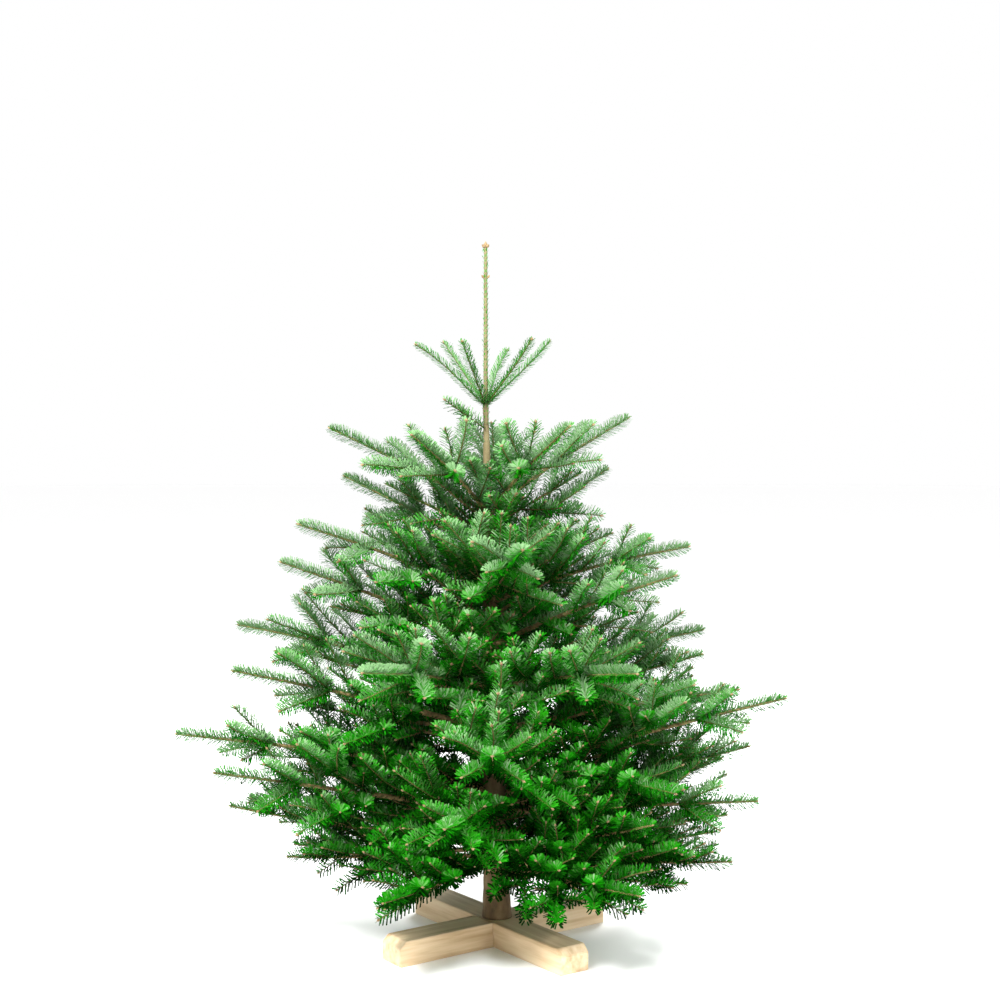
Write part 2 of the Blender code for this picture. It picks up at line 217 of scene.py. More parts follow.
# Needles stand in rows, mirrored on the twig's two sides. A row is its angle round from the twig's top and
# its needles' angle to the twig. A habit is the needles' length, their rows, how much darker
# in painted shade the lower rows are, and how many needles stand on a metre of wood of each age in years.
Habit = namedtuple("Habit", "length rows shade per_metre")
TWIG_ROWS = ((20, 76), (54, 70), (92, 62), (138, 54))
TOP_ROWS = ((30, 50), (90, 48), (150, 42))
LEADER_ROWS = ((30, 24), (90, 27), (150, 24))
TWIG_HABIT = Habit(0.0215, TWIG_ROWS, 0.44, (1560, 1250, 900, 500))
LIMB_HABIT = Habit(0.0215, TWIG_ROWS, 0.44, (2400, 1400, 750, 350))
TOP_HABIT = Habit(0.0150, TOP_ROWS, 0.12, (1700,))
LEADER_HABIT = Habit(0.0095, LEADER_ROWS, 0.06, (620,))
NEEDLE_STEP = 0.008
NEEDLE_WIDTH = 0.0022
NEEDLE_THICKNESS = 0.0004

# How needles vary round and along a twig: angles in degrees, lengths as shares of the full one
ROLL_SCATTER = 9
SWEEP_SCATTER = 4
TWIST_SCATTER = 10
TIP_CLOSING = 10
LEAST_SWEEP = 8
TIP_SHORTENING = 0.45
TOP_LENGTH = 0.78
SIDE_GAIN = 0.22
LENGTH_SPREAD = (0.90, 1.04)
ROOT_LENGTH = 0.55
GROWING_DISTANCE = 0.03
ROOT_DEPTH = 0.7
TOP_FORWARD = (0.25, 0.75)

# Light on the needles, from 0 in deep shade: by exposure, the wood's age and the row's turn upward. Exposure
# grows outward and upward in the crown, whose edge widens downward.
LIGHT_BASE = 0.04
LIGHT_BY_EXPOSURE = 0.60
LIGHT_BY_AGE = -0.09
LIGHT_SCATTER = 0.10
ROW_LIGHT = (0.25, 0.75)
DARKEST_ROW = -0.3
EXPOSURE_BASE = 0.04
EXPOSURE_OUTWARD = 0.46
EXPOSURE_UPWARD = 0.78
EXPOSURE_SCATTER = 0.08
EDGE_TOP_RADIUS = 0.04
EDGE_GAIN = 0.58

# Twigs at the crown's edge stand fuller than the shaded ones inside, whose needles are nearly twice as wide
INNER_FULLNESS = 0.52
OUTER_FULLNESS = 1.24
INNER_WIDENING = 0.0040

# Buds, their feet set back from the tip. The leader has needles from a height, two buds at another, and a
# ring of buds round its end bud.
Bud = namedtuple("Bud", "length radius sides set_back")
TIP_BUD = Bud(0.0065, 0.0023, 4, 0.0010)
SIDE_BUD = Bud(0.0050, 0.0018, 3, 0.0015)
LEADER_END_BUD = Bud(0.0115, 0.0042, 7, 0.002)
LEADER_RING_BUD = Bud(0.0080, 0.0030, 6, 0.004)
LEADER_SIDE_BUD = Bud(0.0075, 0.0028, 6, 0.0)
BUD_PROFILE = ((0, 0.62), (0.45, 1.0), (1, 0.12))
BUD_SIZES = (0.85, 0.3)
RING_BUDS = 5
RING_TURN = 0.4
LEADER_FROM = 0.90
LEADER_BUDS = 1.18
LEADER_EXPOSURE = 0.9
END_BUD_ROOM = 0.012

# The most triangles in one piece of needles
PIECE_LIMIT = 190000

# Colours, painted light and shade: the needles' upper sides from deep shade to the lit top's edge, and
# their undersides, pale with wax, likewise painted from shade to light
UPPER_COLOURS = (
    (0.002, 0.028, 0.001),
    (0.003, 0.082, 0.001),
    (0.004, 0.156, 0.001),
    (0.014, 0.206, 0.004),
    (0.062, 0.240, 0.039),
    (0.170, 0.318, 0.137),
)
UNDER_COLOURS = ((0.004, 0.115, 0.001), (0.014, 0.200, 0.003), (0.092, 0.260, 0.066), (0.190, 0.330, 0.155))
BARK_STOPS = ((0.30, (0.050, 0.027, 0.009)), (0.50, (0.125, 0.076, 0.028)), (0.70, (0.205, 0.145, 0.070)))
YOUNG_BARK_STOPS = ((0.30, (0.110, 0.090, 0.036)), (0.60, (0.200, 0.172, 0.080)))
OLD_TWIG_STOPS = ((0.35, (0.120, 0.082, 0.028)), (0.62, (0.300, 0.205, 0.080)))
YOUNG_TWIG_STOPS = ((0.35, (0.070, 0.072, 0.009)), (0.62, (0.150, 0.115, 0.026)))
BUD_STOPS = ((0.35, (0.160, 0.095, 0.036)), (0.62, (0.310, 0.215, 0.105)))
TIMBER_STOPS = ((0.30, (0.480, 0.320, 0.170)), (0.52, (0.660, 0.490, 0.300)), (0.72, (0.740, 0.590, 0.400)))
FLOOR_COLOUR = (0.99, 0.99, 0.99)
# The trunk's bark turns from brown to olive between these heights above the cut
OLIVE_HEIGHTS = (0.60, 1.0)

# Stand: the lower timber's azimuth, its sharp edges eased, and the screws in the corners of the lap
CROSS_TURN = 36.0
MERGE_DISTANCE = 0.00001
FLAT_ANGLE = 2
SHARP_ANGLE = 25
EASED_EDGE = 0.0012
SCREW_RADIUS = 0.0036
SCREW_CIRCLE = 0.0362
SCREW_HEAD_DEPTH = 0.0016
SCREW_SUNK = 0.0006
SCREW_RIM = 0.0005
SCREW_DISH = 0.0002
RECESS_SHARE = 0.45
RECESS_ARMS = 0.55
RECESS_DEPTH = 0.0007

# Camera: the photograph's frame, its scale at the trunk, and where the trunk's foot stands in it.
# The frame is shifted down by this share of its width, to show the whole stand.
IMAGE_SIZE = 1000
METRES_PER_PIXEL = 0.001849
TRUNK_PIXEL = 497
FOOT_PIXEL = 978
CAMERA_DISTANCE = 3.0
SENSOR_WIDTH = 36.0
STAND_SHIFT = 0.062

# Light: the white world's, and each light's name, place, width and power; all face the middle of the crown
WORLD_STRENGTH = 1.0
LIGHTS = (
    ("key", (-1.2, -2.6, 3.2), 1.0, 300.0),
    ("fill", (2.6, -2.2, 1.8), 1.6, 70.0),
    ("back", (0.8, 2.6, 2.8), 1.6, 130.0),
)
LIGHT_AIM = Vector((0, 0, 0.7))
FLOOR_RADIUS = 30.0


# Growth, as in the model's source

def trunk_axis(height):
    """The trunk's centre at a height above the cut: it leans to its top whorl, and its leader is upright."""
    return Vector((-LEAN * min(1.0, height / TOP_WHORL_HEIGHT), 0, CUT_HEIGHT + height))


def trunk_radius(height):
    """A taper below the top whorl and a gentler one above, a knot at each whorl and a flare at the foot."""
    if height >= TOP_WHORL_HEIGHT:
        share = (height - TOP_WHORL_HEIGHT) / (TREE_HEIGHT - TOP_WHORL_HEIGHT)
        wood = LEADER_RADIUS + (TIP_RADIUS - LEADER_RADIUS) * share
    else:
        share = (1 - height / TOP_WHORL_HEIGHT) ** TAPER
        wood = LEADER_RADIUS + (FOOT_RADIUS - LEADER_RADIUS) * share
    nearest = min(abs(height - whorl) for whorl in WHORLS)
    knot = WHORL_SWELLING * exp(-((nearest / WHORL_SWELLING_HEIGHT) ** 2))
    return wood + knot + FLARE * exp(-height / FLARE_HEIGHT)


def reach_of(tier, azimuth):
    """How far a branch of this tier reaches at an azimuth."""
    across = cos(radians(azimuth))
    side = tier.right if across > 0 else tier.left
    return tier.depth + (side - tier.depth) * across * across


def year_shares(years):
    """The shares of a limb's length that grew year by year, oldest first."""
    weights = [YEARLY_GAIN**year for year in range(years)]
    return [weight / sum(weights) for weight in weights]


def heading_of(azimuth, rise):
    """The direction of an azimuth and a rise."""
    level = cos(radians(rise))
    turn = radians(azimuth)
    return Vector((cos(turn) * level, sin(turn) * level, sin(radians(rise))))


def limb_line(tier, number):
    """The yearly nodes of one branch of a tier, from the trunk's axis to its tip."""
    rng = random.Random(f"{tier.name} {number}")
    azimuth = tier.azimuths[number] + rng.uniform(-AZIMUTH_SPREAD, AZIMUTH_SPREAD)
    lift = tier.lift * cos(radians(azimuth)) / 2 + rng.uniform(-LIFT_SPREAD, LIFT_SPREAD)
    root_rise, tip_rise = tier.rise
    shares = year_shares(tier.years)
    gain = tip_rise - root_rise
    rises = [root_rise + gain * (year + 0.5) / tier.years + lift for year in range(tier.years)]
    level = sum(share * cos(radians(rise)) for share, rise in zip(shares, rises))
    length = (reach_of(tier, azimuth) - BUD_LENGTH) / level
    points = [trunk_axis(tier.height)]
    for share, rise in zip(shares, rises):
        points.append(points[-1] + heading_of(azimuth, rise) * length * share)
    return points


def upward(heading):
    """The direction square to a heading that rises most."""
    return heading.cross(Vector((0, 0, 1))).cross(heading).normalized()


def side_branch(line, node, roll, share, up, rng, start=None):
    """The yearly nodes of a branch that leaves a line at a node, or at a start shortly before that node."""
    ahead = (line[node + 1] - line[node]).normalized()
    turn = radians(roll + rng.uniform(-ROLL_SPREAD, ROLL_SPREAD))
    out = up * cos(turn) + ahead.cross(up) * sin(turn)
    angle = radians(SIDE_ANGLE + rng.uniform(-ANGLE_SPREAD, ANGLE_SPREAD))
    heading = ahead * cos(angle) + out.normalized() * sin(angle)
    share *= rng.uniform(*SHARE_SPREAD)
    points = [line[node].copy() if start is None else start]
    for a, b in zip(line[node:], line[node + 1 :]):
        points.append(points[-1] + heading * (b - a).length * share)
        heading = (heading + up * CURL).normalized()
    return points


def bough_radius(share, length):
    """A bough's radius at a share of its length: thicker on a longer bough, and slim at the tip."""
    root = BOUGH_RADIUS + BOUGH_GAIN * length
    return root + (TWIG_RADIUS - root) * share**BOUGH_TAPER


def length_of(line):
    """The length of a branch along its yearly nodes."""
    return sum((b - a).length for a, b in zip(line, line[1:]))


# Finer growth

Branch = namedtuple("Branch", "line up order")


def segments_of(lines):
    """The straight stretches of some lines, as arrays of their starts and of the ways along them."""
    starts = np.array([tuple(a) for line in lines for a in line[:-1]])
    ends = np.array([tuple(b) for line in lines for b in line[1:]])
    return starts, ends - starts


def distances(points, segments):
    """The distance of each point to each segment."""
    starts, ways = segments
    away = np.array([tuple(p) for p in points])[:, None] - starts[None]
    share = np.clip((away * ways).sum(2) / (ways**2).sum(1), 0, 1)
    return np.linalg.norm(away - share[..., None] * ways[None], axis=2)


def middles_and_ends(points):
    """The middle and the end of each stretch of a line."""
    return [a.lerp(b, 0.5) for a, b in zip(points, points[1:])] + points[1:]


def hangs_low(point):
    """Whether a point is lower than twigs hang; in front of the trunk's foot they are trimmed higher."""
    if point.y < 0 and abs(point.x) < TRIMMED_WIDTH:
        return point.z < TRIMMED_HEIGHT - TRIMMED_SLOPE * point.y
    return point.z < LOWEST


def keeps_to_space(points, own, others):
    """Whether every point is high enough above the floor and nearly within its own limb's space."""
    if any(hangs_low(point) for point in points):
        return False
    nearest_own = distances(points, own).min(axis=1)
    nearest_other = distances(points, others).min(axis=1)
    return bool((nearest_own < nearest_other + SPACE_OVERLAP).all())


def places_for_sides(parent, order):
    """Where side branches leave a parent: node, roll, share of its growth, start, and a seed for each."""
    places = []
    sides = SIDES if order == 1 else FINER_SIDES
    for node in range(1, len(parent) - 1):
        for side, (roll, share) in enumerate(sides):
            places.append((node, roll, share, None, f"{node}{side}"))
    for node in range(1, len(parent) - 1):
        for number, (along, roll) in enumerate(BETWEEN):
            start = parent[node - 1].lerp(parent[node], along)
            share = BETWEEN_SHARE * (BETWEEN_EARLIEST + (1 - BETWEEN_EARLIEST) * along)
            places.append((node, roll, share, start, f"{node}between{number}"))
    return places


def is_clear(points, taken):
    """Whether points keep off the branches that have grown before, if any are given."""
    return taken is None or all(taken.find(point)[2] > CLEARANCE for point in points)


def grow_limb(name, line, bare, others, taken=None):
    """The branches that grow from one limb, itself first. A bare one has no small ones near its root."""
    up = upward((line[1] - line[0]).normalized())
    own = segments_of([line])
    grown = [Branch(line, up, 0)]
    lost = LOST_TWIGS.get(name, ())
    parents = [(name, line)]
    for order in range(1, ORDERS + 1):
        next_parents = []
        for seed, parent in parents:
            for node, roll, share, start, tag in places_for_sides(parent, order):
                finer = order > 1 or start is not None
                if finer and abs(roll) < STANDING_ROLL and line[0].z > HIGH:
                    continue
                if order == 1 and bare and start is not None and node == 1:
                    continue
                neighbours = [b.line for b in grown if b.line is not parent]
                near = segments_of(neighbours) if neighbours else None
                for shorter in SHORTER:
                    rng = random.Random(f"{seed} {tag}")
                    points = side_branch(parent, node, roll, share * shorter, up, rng, start)
                    if (points[-1] - points[0]).length < SHORTEST:
                        break
                    if near and distances(middles_and_ends(points), near).min() < CROWDED[order]:
                        continue
                    if not keeps_to_space(points[1:], own, others):
                        continue
                    if not is_clear(middles_and_ends(points), taken):
                        continue
                    if len(grown) not in lost:
                        next_parents.append((f"{seed} {tag}", points))
                    grown.append(Branch(points, up, order))
                    break
        parents = next_parents
    return [branch for number, branch in enumerate(grown) if number not in lost]


def grow_tree():
    """The branches of every limb, by its node's name in the model or a name of its own."""
    lines = {(tier, i): limb_line(tier, i) for tier in TIERS for i in range(len(tier.azimuths))}
    limbs = {}
    for (tier, i), line in lines.items():
        name = f"{tier.name}_foliage_{i + 1}"
        others = segments_of([other for key, other in lines.items() if key != (tier, i)])
        limbs[name] = grow_limb(name, line, tier.bare, others)
    for i in range(TOP_SHOOTS):
        azimuth = TOP_SHOOT_AZIMUTH + 360 / TOP_SHOOTS * i
        heading = heading_of(azimuth, TOP_SHOOT_RISE + random.Random(i).uniform(*TOP_SHOOT_SPREAD))
        start = trunk_axis(TOP_WHORL_HEIGHT)
        line = [start, start + heading * (TOP_SHOOT_LENGTH - BUD_LENGTH)]
        limbs[f"top_shoot_{i + 1}"] = [Branch(line, upward(heading), 1)]
    for i, (azimuth, height, length, rise) in enumerate(SIDE_SHOOTS):
        heading = heading_of(azimuth, rise)
        start = trunk_axis(height)
        line = [start, start + heading * (length - BUD_LENGTH)]
        limbs[f"side_shoot_{i + 1}"] = [Branch(line, upward(heading), 1)]
    limbs.update(grow_weak_limbs(limbs))
    return limbs


def weak_limb_plans():
    """The name, azimuth, height, reach and rise of each weak bough and small branch of the trunk."""
    plans = [(f"weak_bough_{i + 1}", *plan) for i, plan in enumerate(WEAK_BOUGHS)]
    low, high = TRUNK_SHOOT_RISE
    for number in range(TRUNK_SHOOTS):
        name = f"trunk_shoot_{number + 1}"
        rng = random.Random(name)
        off, size, turn, lift = [rng.uniform(*spread) for spread in TRUNK_SHOOT_SPREADS]
        height = TRUNK_SHOOTS_FROM + TRUNK_SHOOT_STEP * number + off
        share = height / TOP_WHORL_HEIGHT
        reach = (CROWN_GAIN * (1 - share) + CROWN_TOP_RADIUS) * TRUNK_SHOOT_SHARE * size
        plans.append((name, number * GOLDEN_ANGLE + turn, height, reach, low + (high - low) * share + lift))
    return plans


def grow_weak_limbs(limbs):
    """The weak boughs and small branches between the whorls, each where the other limbs leave it room."""
    spots = [p for branches in limbs.values() for b in branches for p in middles_and_ends(b.line)]
    taken = KDTree(len(spots))
    for i, spot in enumerate(spots):
        taken.insert(spot, i)
    taken.balance()
    lines = [branches[0].line for branches in limbs.values()]
    grown = {}
    for name, azimuth, height, reach, rise in weak_limb_plans():
        years = 1 + int(reach / YEAR_LENGTH)
        heading = heading_of(azimuth, rise)
        line = [trunk_axis(height)]
        for _ in range(years):
            line.append(line[-1] + heading * reach / years)
            heading = (heading + Vector((0, 0, WEAK_CURL))).normalized()
            if name.startswith("trunk_shoot") and not is_clear(middles_and_ends(line[-2:]), taken):
                break
        grown[name] = grow_limb(name, line, False, segments_of(lines), taken)
        lines.append(line)
    return grown


# Curves and tubes

Curve = namedtuple("Curve", "points along across above ages travelled")


def curve_of(branch, step, rng):
    """A smooth curve through a branch's yearly nodes, with its directions and the wood's ages."""
    nodes = np.array([tuple(p) for p in branch.line])
    padded = np.vstack([2 * nodes[0] - nodes[1], nodes, 2 * nodes[-1] - nodes[-2]])
    years = len(nodes) - 1
    pieces = []
    ages = []
    for year in range(years):
        a, b, c, d = padded[year : year + 4]
        count = max(2, round(float(np.linalg.norm(c - b)) / step))
        t = (np.arange(count) / count)[:, None]
        bent = (2 * a - 5 * b + 4 * c - d) * t**2 + (3 * b - a - 3 * c + d) * t**3
        pieces.append(0.5 * (2 * b + (c - a) * t + bent))
        ages += [years - 1 - year] * count
    points = np.vstack([*pieces, nodes[-1:]])
    share = np.linspace(0, 1, len(points))
    length = np.linalg.norm(np.diff(points, axis=0), axis=1).sum()
    if branch.order:
        sway = rng.normal(size=3) * length * WOBBLE
        points = points + np.outer(np.sin(pi * share) * share, sway)
    along = np.gradient(points, axis=0)
    along /= np.linalg.norm(along, axis=1)[:, None]
    across = np.cross(along, np.array(branch.up))
    across /= np.linalg.norm(across, axis=1)[:, None]
    travelled = np.concatenate([[0], np.cumsum(np.linalg.norm(np.diff(points, axis=0), axis=1))])
    return Curve(points, along, across, np.cross(across, along), np.array([*ages, 0]), travelled)


def tube_arrays(points, across, above, radii, sides):
    """Vertices and triangles of a closed round limb, with one radius for each ring or for each corner."""
    count = len(points)
    angles = np.arange(sides) / sides * 2 * pi
    radii = np.broadcast_to(np.asarray(radii, float).reshape(count, -1), (count, sides))
    ring = across[:, None] * np.cos(angles)[None, :, None] + above[:, None] * np.sin(angles)[None, :, None]
    vertices = (points[:, None] + ring * radii[..., None]).reshape(-1, 3)
    i, j = np.meshgrid(np.arange(count - 1), np.arange(sides), indexing="ij")
    a = (i * sides + j).ravel()
    b = (i * sides + (j + 1) % sides).ravel()
    walls = np.vstack([np.column_stack([a, a + sides, b]), np.column_stack([b, a + sides, b + sides])])
    fan = np.arange(1, sides - 1)
    first = np.column_stack([np.zeros_like(fan), fan, fan + 1])
    last = first[:, ::-1] + (count - 1) * sides
    return vertices, np.vstack([walls, first, last])


def join_arrays(parts):
    """One pair of vertex and triangle arrays from several."""
    vertices = np.vstack([v for v, _ in parts])
    offsets = np.cumsum([0] + [len(v) for v, _ in parts[:-1]])
    return vertices, np.vstack([t + offset for (_, t), offset in zip(parts, offsets)])


def add_object(name, data):
    """An object in the scene for a mesh, a light or a camera."""
    made = bpy.data.objects.new(name, data)
    bpy.context.scene.collection.objects.link(made)
    return made


def mesh_object(name, vertices, triangles, materials, indices=None, smooth=True):
    """A mesh piece that rides on the tree, from arrays."""
    mesh = bpy.data.meshes.new(name)
    mesh.vertices.add(len(vertices))
    mesh.vertices.foreach_set("co", vertices.astype(np.float32).ravel())
    mesh.loops.add(len(triangles) * 3)
    mesh.loops.foreach_set("vertex_index", triangles.astype(np.int32).ravel())
    mesh.polygons.add(len(triangles))
    mesh.polygons.foreach_set("loop_start", np.arange(len(triangles), dtype=np.int32) * 3)
    for material in materials:
        mesh.materials.append(material)
    if indices is not None:
        mesh.polygons.foreach_set("material_index", indices.astype(np.int32))
    mesh.update(calc_edges=True)
    if smooth:
        mesh.shade_smooth()
    else:
        mesh.shade_flat()
    made = add_object(name, mesh)
    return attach(made, "root")


# Needles

Needles = namedtuple("Needles", "roots headings tops lengths widths upper under")

# A needle is a flat blunt blade: its corners in shares of its length, half width and thickness, and its
# two upper and two lower faces
BLADE = np.array([(0, -0.7, 1), (0, 0.7, 0), (1, -0.9, 0), (1, 0.9, 1)])
BLADE_FACES = np.array([(0, 2, 3), (0, 3, 1), (0, 1, 2), (1, 3, 2)])


def unit(vectors):
    """Vectors at a length of one."""
    return vectors / np.linalg.norm(vectors, axis=-1, keepdims=True)


def outward_share(point):
    """How far out in the crown a point lies, from 0 at the trunk to 1 at the edge."""
    height = (point[2] - CUT_HEIGHT) / TREE_HEIGHT
    edge = EDGE_GAIN * (1 - height) + EDGE_TOP_RADIUS
    return min(1.0, hypot(point[0] + LEAN * height, point[1]) / edge)


def exposure_of(point):
    """How far out and up a point lies, from 0 deep inside and low to 1 at the top's edge."""
    height = (point[2] - CUT_HEIGHT) / TREE_HEIGHT
    outward = outward_share(point)
    return min(1.0, EXPOSURE_BASE + EXPOSURE_OUTWARD * outward**2 + EXPOSURE_UPWARD * height)


def tone_of(light, count, rng):
    """Each needle's number among some tones, by the light on it."""
    tones = (light + rng.normal(0, LIGHT_SCATTER, len(light))) * count
    return np.clip(tones, 0, count - 1).astype(int)


def needles_on(curve, radii, rng, habit, exposure, fullness=1.0):
    """The needles along a curve, in rows on both sides of the twig and swept towards its tip."""
    lengths = np.diff(curve.travelled)
    counts = habit.per_metre
    expected = np.array([counts[min(age, len(counts) - 1)] for age in curve.ages[:-1]]) * lengths * fullness
    total = max(1, int(round(expected.sum())))
    spots = (np.arange(total) + rng.uniform(0.2, 0.8, total)) / total * expected.sum()
    travelled = np.interp(spots, np.concatenate([[0], np.cumsum(expected)]), curve.travelled)
    place = [np.interp(travelled, curve.travelled, curve.points[:, k]) for k in range(3)]
    at = np.clip(np.searchsorted(curve.travelled, travelled), 1, len(lengths)) - 1
    along, across, above = curve.along[at], curve.across[at], curve.above[at]
    rows = np.array(habit.rows, float)[np.arange(total) // 2 % len(habit.rows)]
    side = 1 - 2 * (np.arange(total) % 2)
    roll = np.radians((rows[:, 0] + rng.normal(0, ROLL_SCATTER, total)) * side)
    radial = above * np.cos(roll)[:, None] + across * np.sin(roll)[:, None]
    to_tip = (curve.travelled[-1] - travelled) / habit.length
    near_tip = np.clip(1 - to_tip, 0, 1)
    sweep = rows[:, 1] + rng.normal(0, SWEEP_SCATTER, total) - TIP_CLOSING * near_tip
    sweep = np.radians(np.maximum(sweep, LEAST_SWEEP))
    headings = unit(along * np.cos(sweep)[:, None] + radial * np.sin(sweep)[:, None])
    reach = habit.length * (TOP_LENGTH + SIDE_GAIN * np.abs(np.sin(roll)))
    reach = reach * rng.uniform(*LENGTH_SPREAD, total)
    reach *= np.clip(ROOT_LENGTH + travelled / GROWING_DISTANCE, 0, 1) * (1 - TIP_SHORTENING * near_tip)
    lifted = np.clip(np.cos(roll), 0, 1)[:, None]
    facing = along * (TOP_FORWARD[0] + TOP_FORWARD[1] * lifted) + np.array([0, 0, 1]) * (1 - lifted)
    tops = unit(facing - headings * (facing * headings).sum(1)[:, None])
    twist = rng.normal(0, radians(TWIST_SCATTER), total)[:, None]
    tops = tops * np.cos(twist) + np.cross(headings, tops) * np.sin(twist)
    girth = np.interp(travelled, curve.travelled, np.broadcast_to(radii, curve.travelled.shape))
    roots = np.column_stack(place) + radial * girth[:, None] * ROOT_DEPTH
    # Painted light and shade: lighter for exposed twigs and rows turned up, darker for rows turned down
    turned_up = np.maximum(ROW_LIGHT[0] + ROW_LIGHT[1] * np.cos(roll), DARKEST_ROW)
    light = LIGHT_BASE + LIGHT_BY_EXPOSURE * exposure + habit.shade * turned_up
    light = light + LIGHT_BY_AGE * curve.ages[at]
    upper = tone_of(light, len(UPPER_COLOURS), rng)
    under = tone_of(light, len(UNDER_COLOURS), rng)
    widths = np.full(total, NEEDLE_WIDTH + INNER_WIDENING * (1 - min(1.0, fullness)))
    return Needles(roots, headings, tops, reach, widths, upper, under)


def needle_arrays(needles):
    """Vertices, triangles and tones of the needles, as closed blades."""
    sideways = np.cross(needles.tops, needles.headings)
    ahead = BLADE[None, :, 0] * needles.lengths[:, None]
    aside = BLADE[None, :, 1] * needles.widths[:, None] / 2
    raised = np.broadcast_to(BLADE[None, :, 2] * NEEDLE_THICKNESS, ahead.shape)
    vertices = (
        needles.roots[:, None]
        + needles.headings[:, None] * ahead[..., None]
        + sideways[:, None] * aside[..., None]
        + needles.tops[:, None] * raised[..., None]
    )
    first = np.arange(len(needles.roots)) * len(BLADE)
    triangles = (BLADE_FACES[None] + first[:, None, None]).reshape(-1, 3)
    under = needles.under + len(UPPER_COLOURS)
    tones = np.column_stack([needles.upper, needles.upper, under, under]).ravel()
    return vertices.reshape(-1, 3), triangles, tones


def joined_needles(many):
    """Several sets of needles as one."""
    return Needles(*(np.concatenate([getattr(n, field) for n in many]) for field in Needles._fields))


# Buds

def bud_arrays(place, heading, bud, size=1.0):
    """A small pointed bud, from rings along its profile, its corners set out from one fixed direction."""
    heading = unit(np.asarray(heading, float))
    across = unit(np.cross(heading, (0.31, 0.52, 0.79)))
    above = np.cross(across, heading)
    length = bud.length * size
    points = np.array([place + heading * length * along for along, _ in BUD_PROFILE])
    girths = np.array([girth for _, girth in BUD_PROFILE]) * (bud.radius * size)
    rings = (len(points), 1)
    return tube_arrays(points, np.tile(across, rings), np.tile(above, rings), girths, bud.sides)


def buds_at(curve, rng, size, order):
    """A bud at a twig's tip, and two smaller ones beside it except on the finest twigs."""
    tip, along, across = curve.points[-1], curve.along[-1], curve.across[-1]
    made = [bud_arrays(tip - along * TIP_BUD.set_back, along, TIP_BUD, size)]
    for side in (-1, 1) if order < 2 else ():
        heading = along + across * side * rng.uniform(0.7, 0.95) + curve.above[-1] * rng.uniform(-0.3, 0.4)
        made.append(bud_arrays(tip - along * SIDE_BUD.set_back, heading, SIDE_BUD, size))
    return made


# The trunk and the boughs, with the bark's relief

def rough(point, scale, seed):
    """Smooth noise between about -1 and 1 at a point, its features about the scale in size."""
    return noise.noise(Vector(point) / scale + Vector((seed, seed * 1.7, seed * 2.3)))


def bark_relief(place):
    """How far the trunk's bark stands out at a place: folds along it, wrinkles round it, and blisters."""
    folds = rough((place.x, place.y, place.z * FOLD_STRETCH), FOLDS.size, FOLDS.seed)
    squeezed = (place.x * WRINKLE_STRETCH, place.y * WRINKLE_STRETCH, place.z)
    wrinkles = rough(squeezed, WRINKLES.size, WRINKLES.seed)
    blisters = max(0.0, rough(place, BLISTERS.size, BLISTERS.seed) - BLISTERS_FROM)
    return FOLDS.depth * folds + WRINKLES.depth * wrinkles + BLISTERS.depth * blisters


def collar_at(place, limb_roots):
    """How far the collars round the limbs stand out of the trunk at a place."""
    collar = 0.0
    for root, heading, girth in limb_roots:
        if abs(root.z - place.z) < COLLAR_NEAR:
            away = place - root
            off = (away - heading * away.dot(heading)).length
            if away.dot(heading) > 0 and off < girth * COLLAR_REACH:
                height = COLLAR_HEIGHT * girth * exp(-((off / (girth * COLLAR_WIDTH)) ** 2))
                collar = max(collar, height)
    return collar


def trunk_arrays(limb_roots):
    """The trunk with its bark's relief, less of it where the trunk is thin, and a collar at each limb."""
    count = int(TREE_HEIGHT / TRUNK_STEP)
    heights = np.linspace(0, TREE_HEIGHT - END_BUD_ROOM, count)
    points = np.array([tuple(trunk_axis(h)) for h in heights])
    radii = np.zeros((count, TRUNK_SIDES))
    for i, height in enumerate(heights):
        radius = trunk_radius(height)
        roughness = min(1.0, radius / FOOT_RADIUS) ** SMOOTHING
        for j in range(TRUNK_SIDES):
            angle = j / TRUNK_SIDES * 2 * pi
            place = Vector(points[i]) + Vector((cos(angle), -sin(angle), 0)) * radius
            radii[i, j] = radius + bark_relief(place) * roughness + collar_at(place, limb_roots)
    across = np.tile((1.0, 0, 0), (count, 1))
    above = np.tile((0, -1.0, 0), (count, 1))
    return tube_arrays(points, across, above, radii, TRUNK_SIDES)


def limb_wood_arrays(branch, rng):
    """One limb's wood from the trunk to its tip, rougher where it is thicker."""
    curve = curve_of(branch, LIMB_STEP, rng)
    share = curve.travelled / curve.travelled[-1]
    length = length_of(branch.line)
    girth = np.array([bough_radius(s, length) for s in share])
    radii = np.repeat(girth[:, None], LIMB_SIDES, axis=1)
    for i, point in enumerate(curve.points):
        for j in range(LIMB_SIDES):
            angle = j / LIMB_SIDES * 2 * pi
            way = curve.across[i] * cos(angle) + curve.above[i] * sin(angle)
            place = Vector(point + way * girth[i])
            folds = LIMB_FOLDS.depth * rough(place, LIMB_FOLDS.size, LIMB_FOLDS.seed)
            wrinkles = LIMB_WRINKLES.depth * rough(place, LIMB_WRINKLES.size, LIMB_WRINKLES.seed)
            radii[i, j] += girth[i] * (folds + wrinkles)
    radii *= (1 + LIMB_SWELLING * np.exp(-curve.travelled / LIMB_SWELLING_LENGTH))[:, None]
    return tube_arrays(curve.points, curve.across, curve.above, radii, LIMB_SIDES)


# Materials

def principled(name, colour, roughness):
    """A Principled material with its nodes, links and shader."""
    made = bpy.data.materials.new(name)
    made.use_nodes = True
    shader = made.node_tree.nodes["Principled BSDF"]
    shader.inputs["Base Color"].default_value = (*colour, 1)
    shader.inputs["Roughness"].default_value = roughness
    return made, made.node_tree.nodes, made.node_tree.links, shader


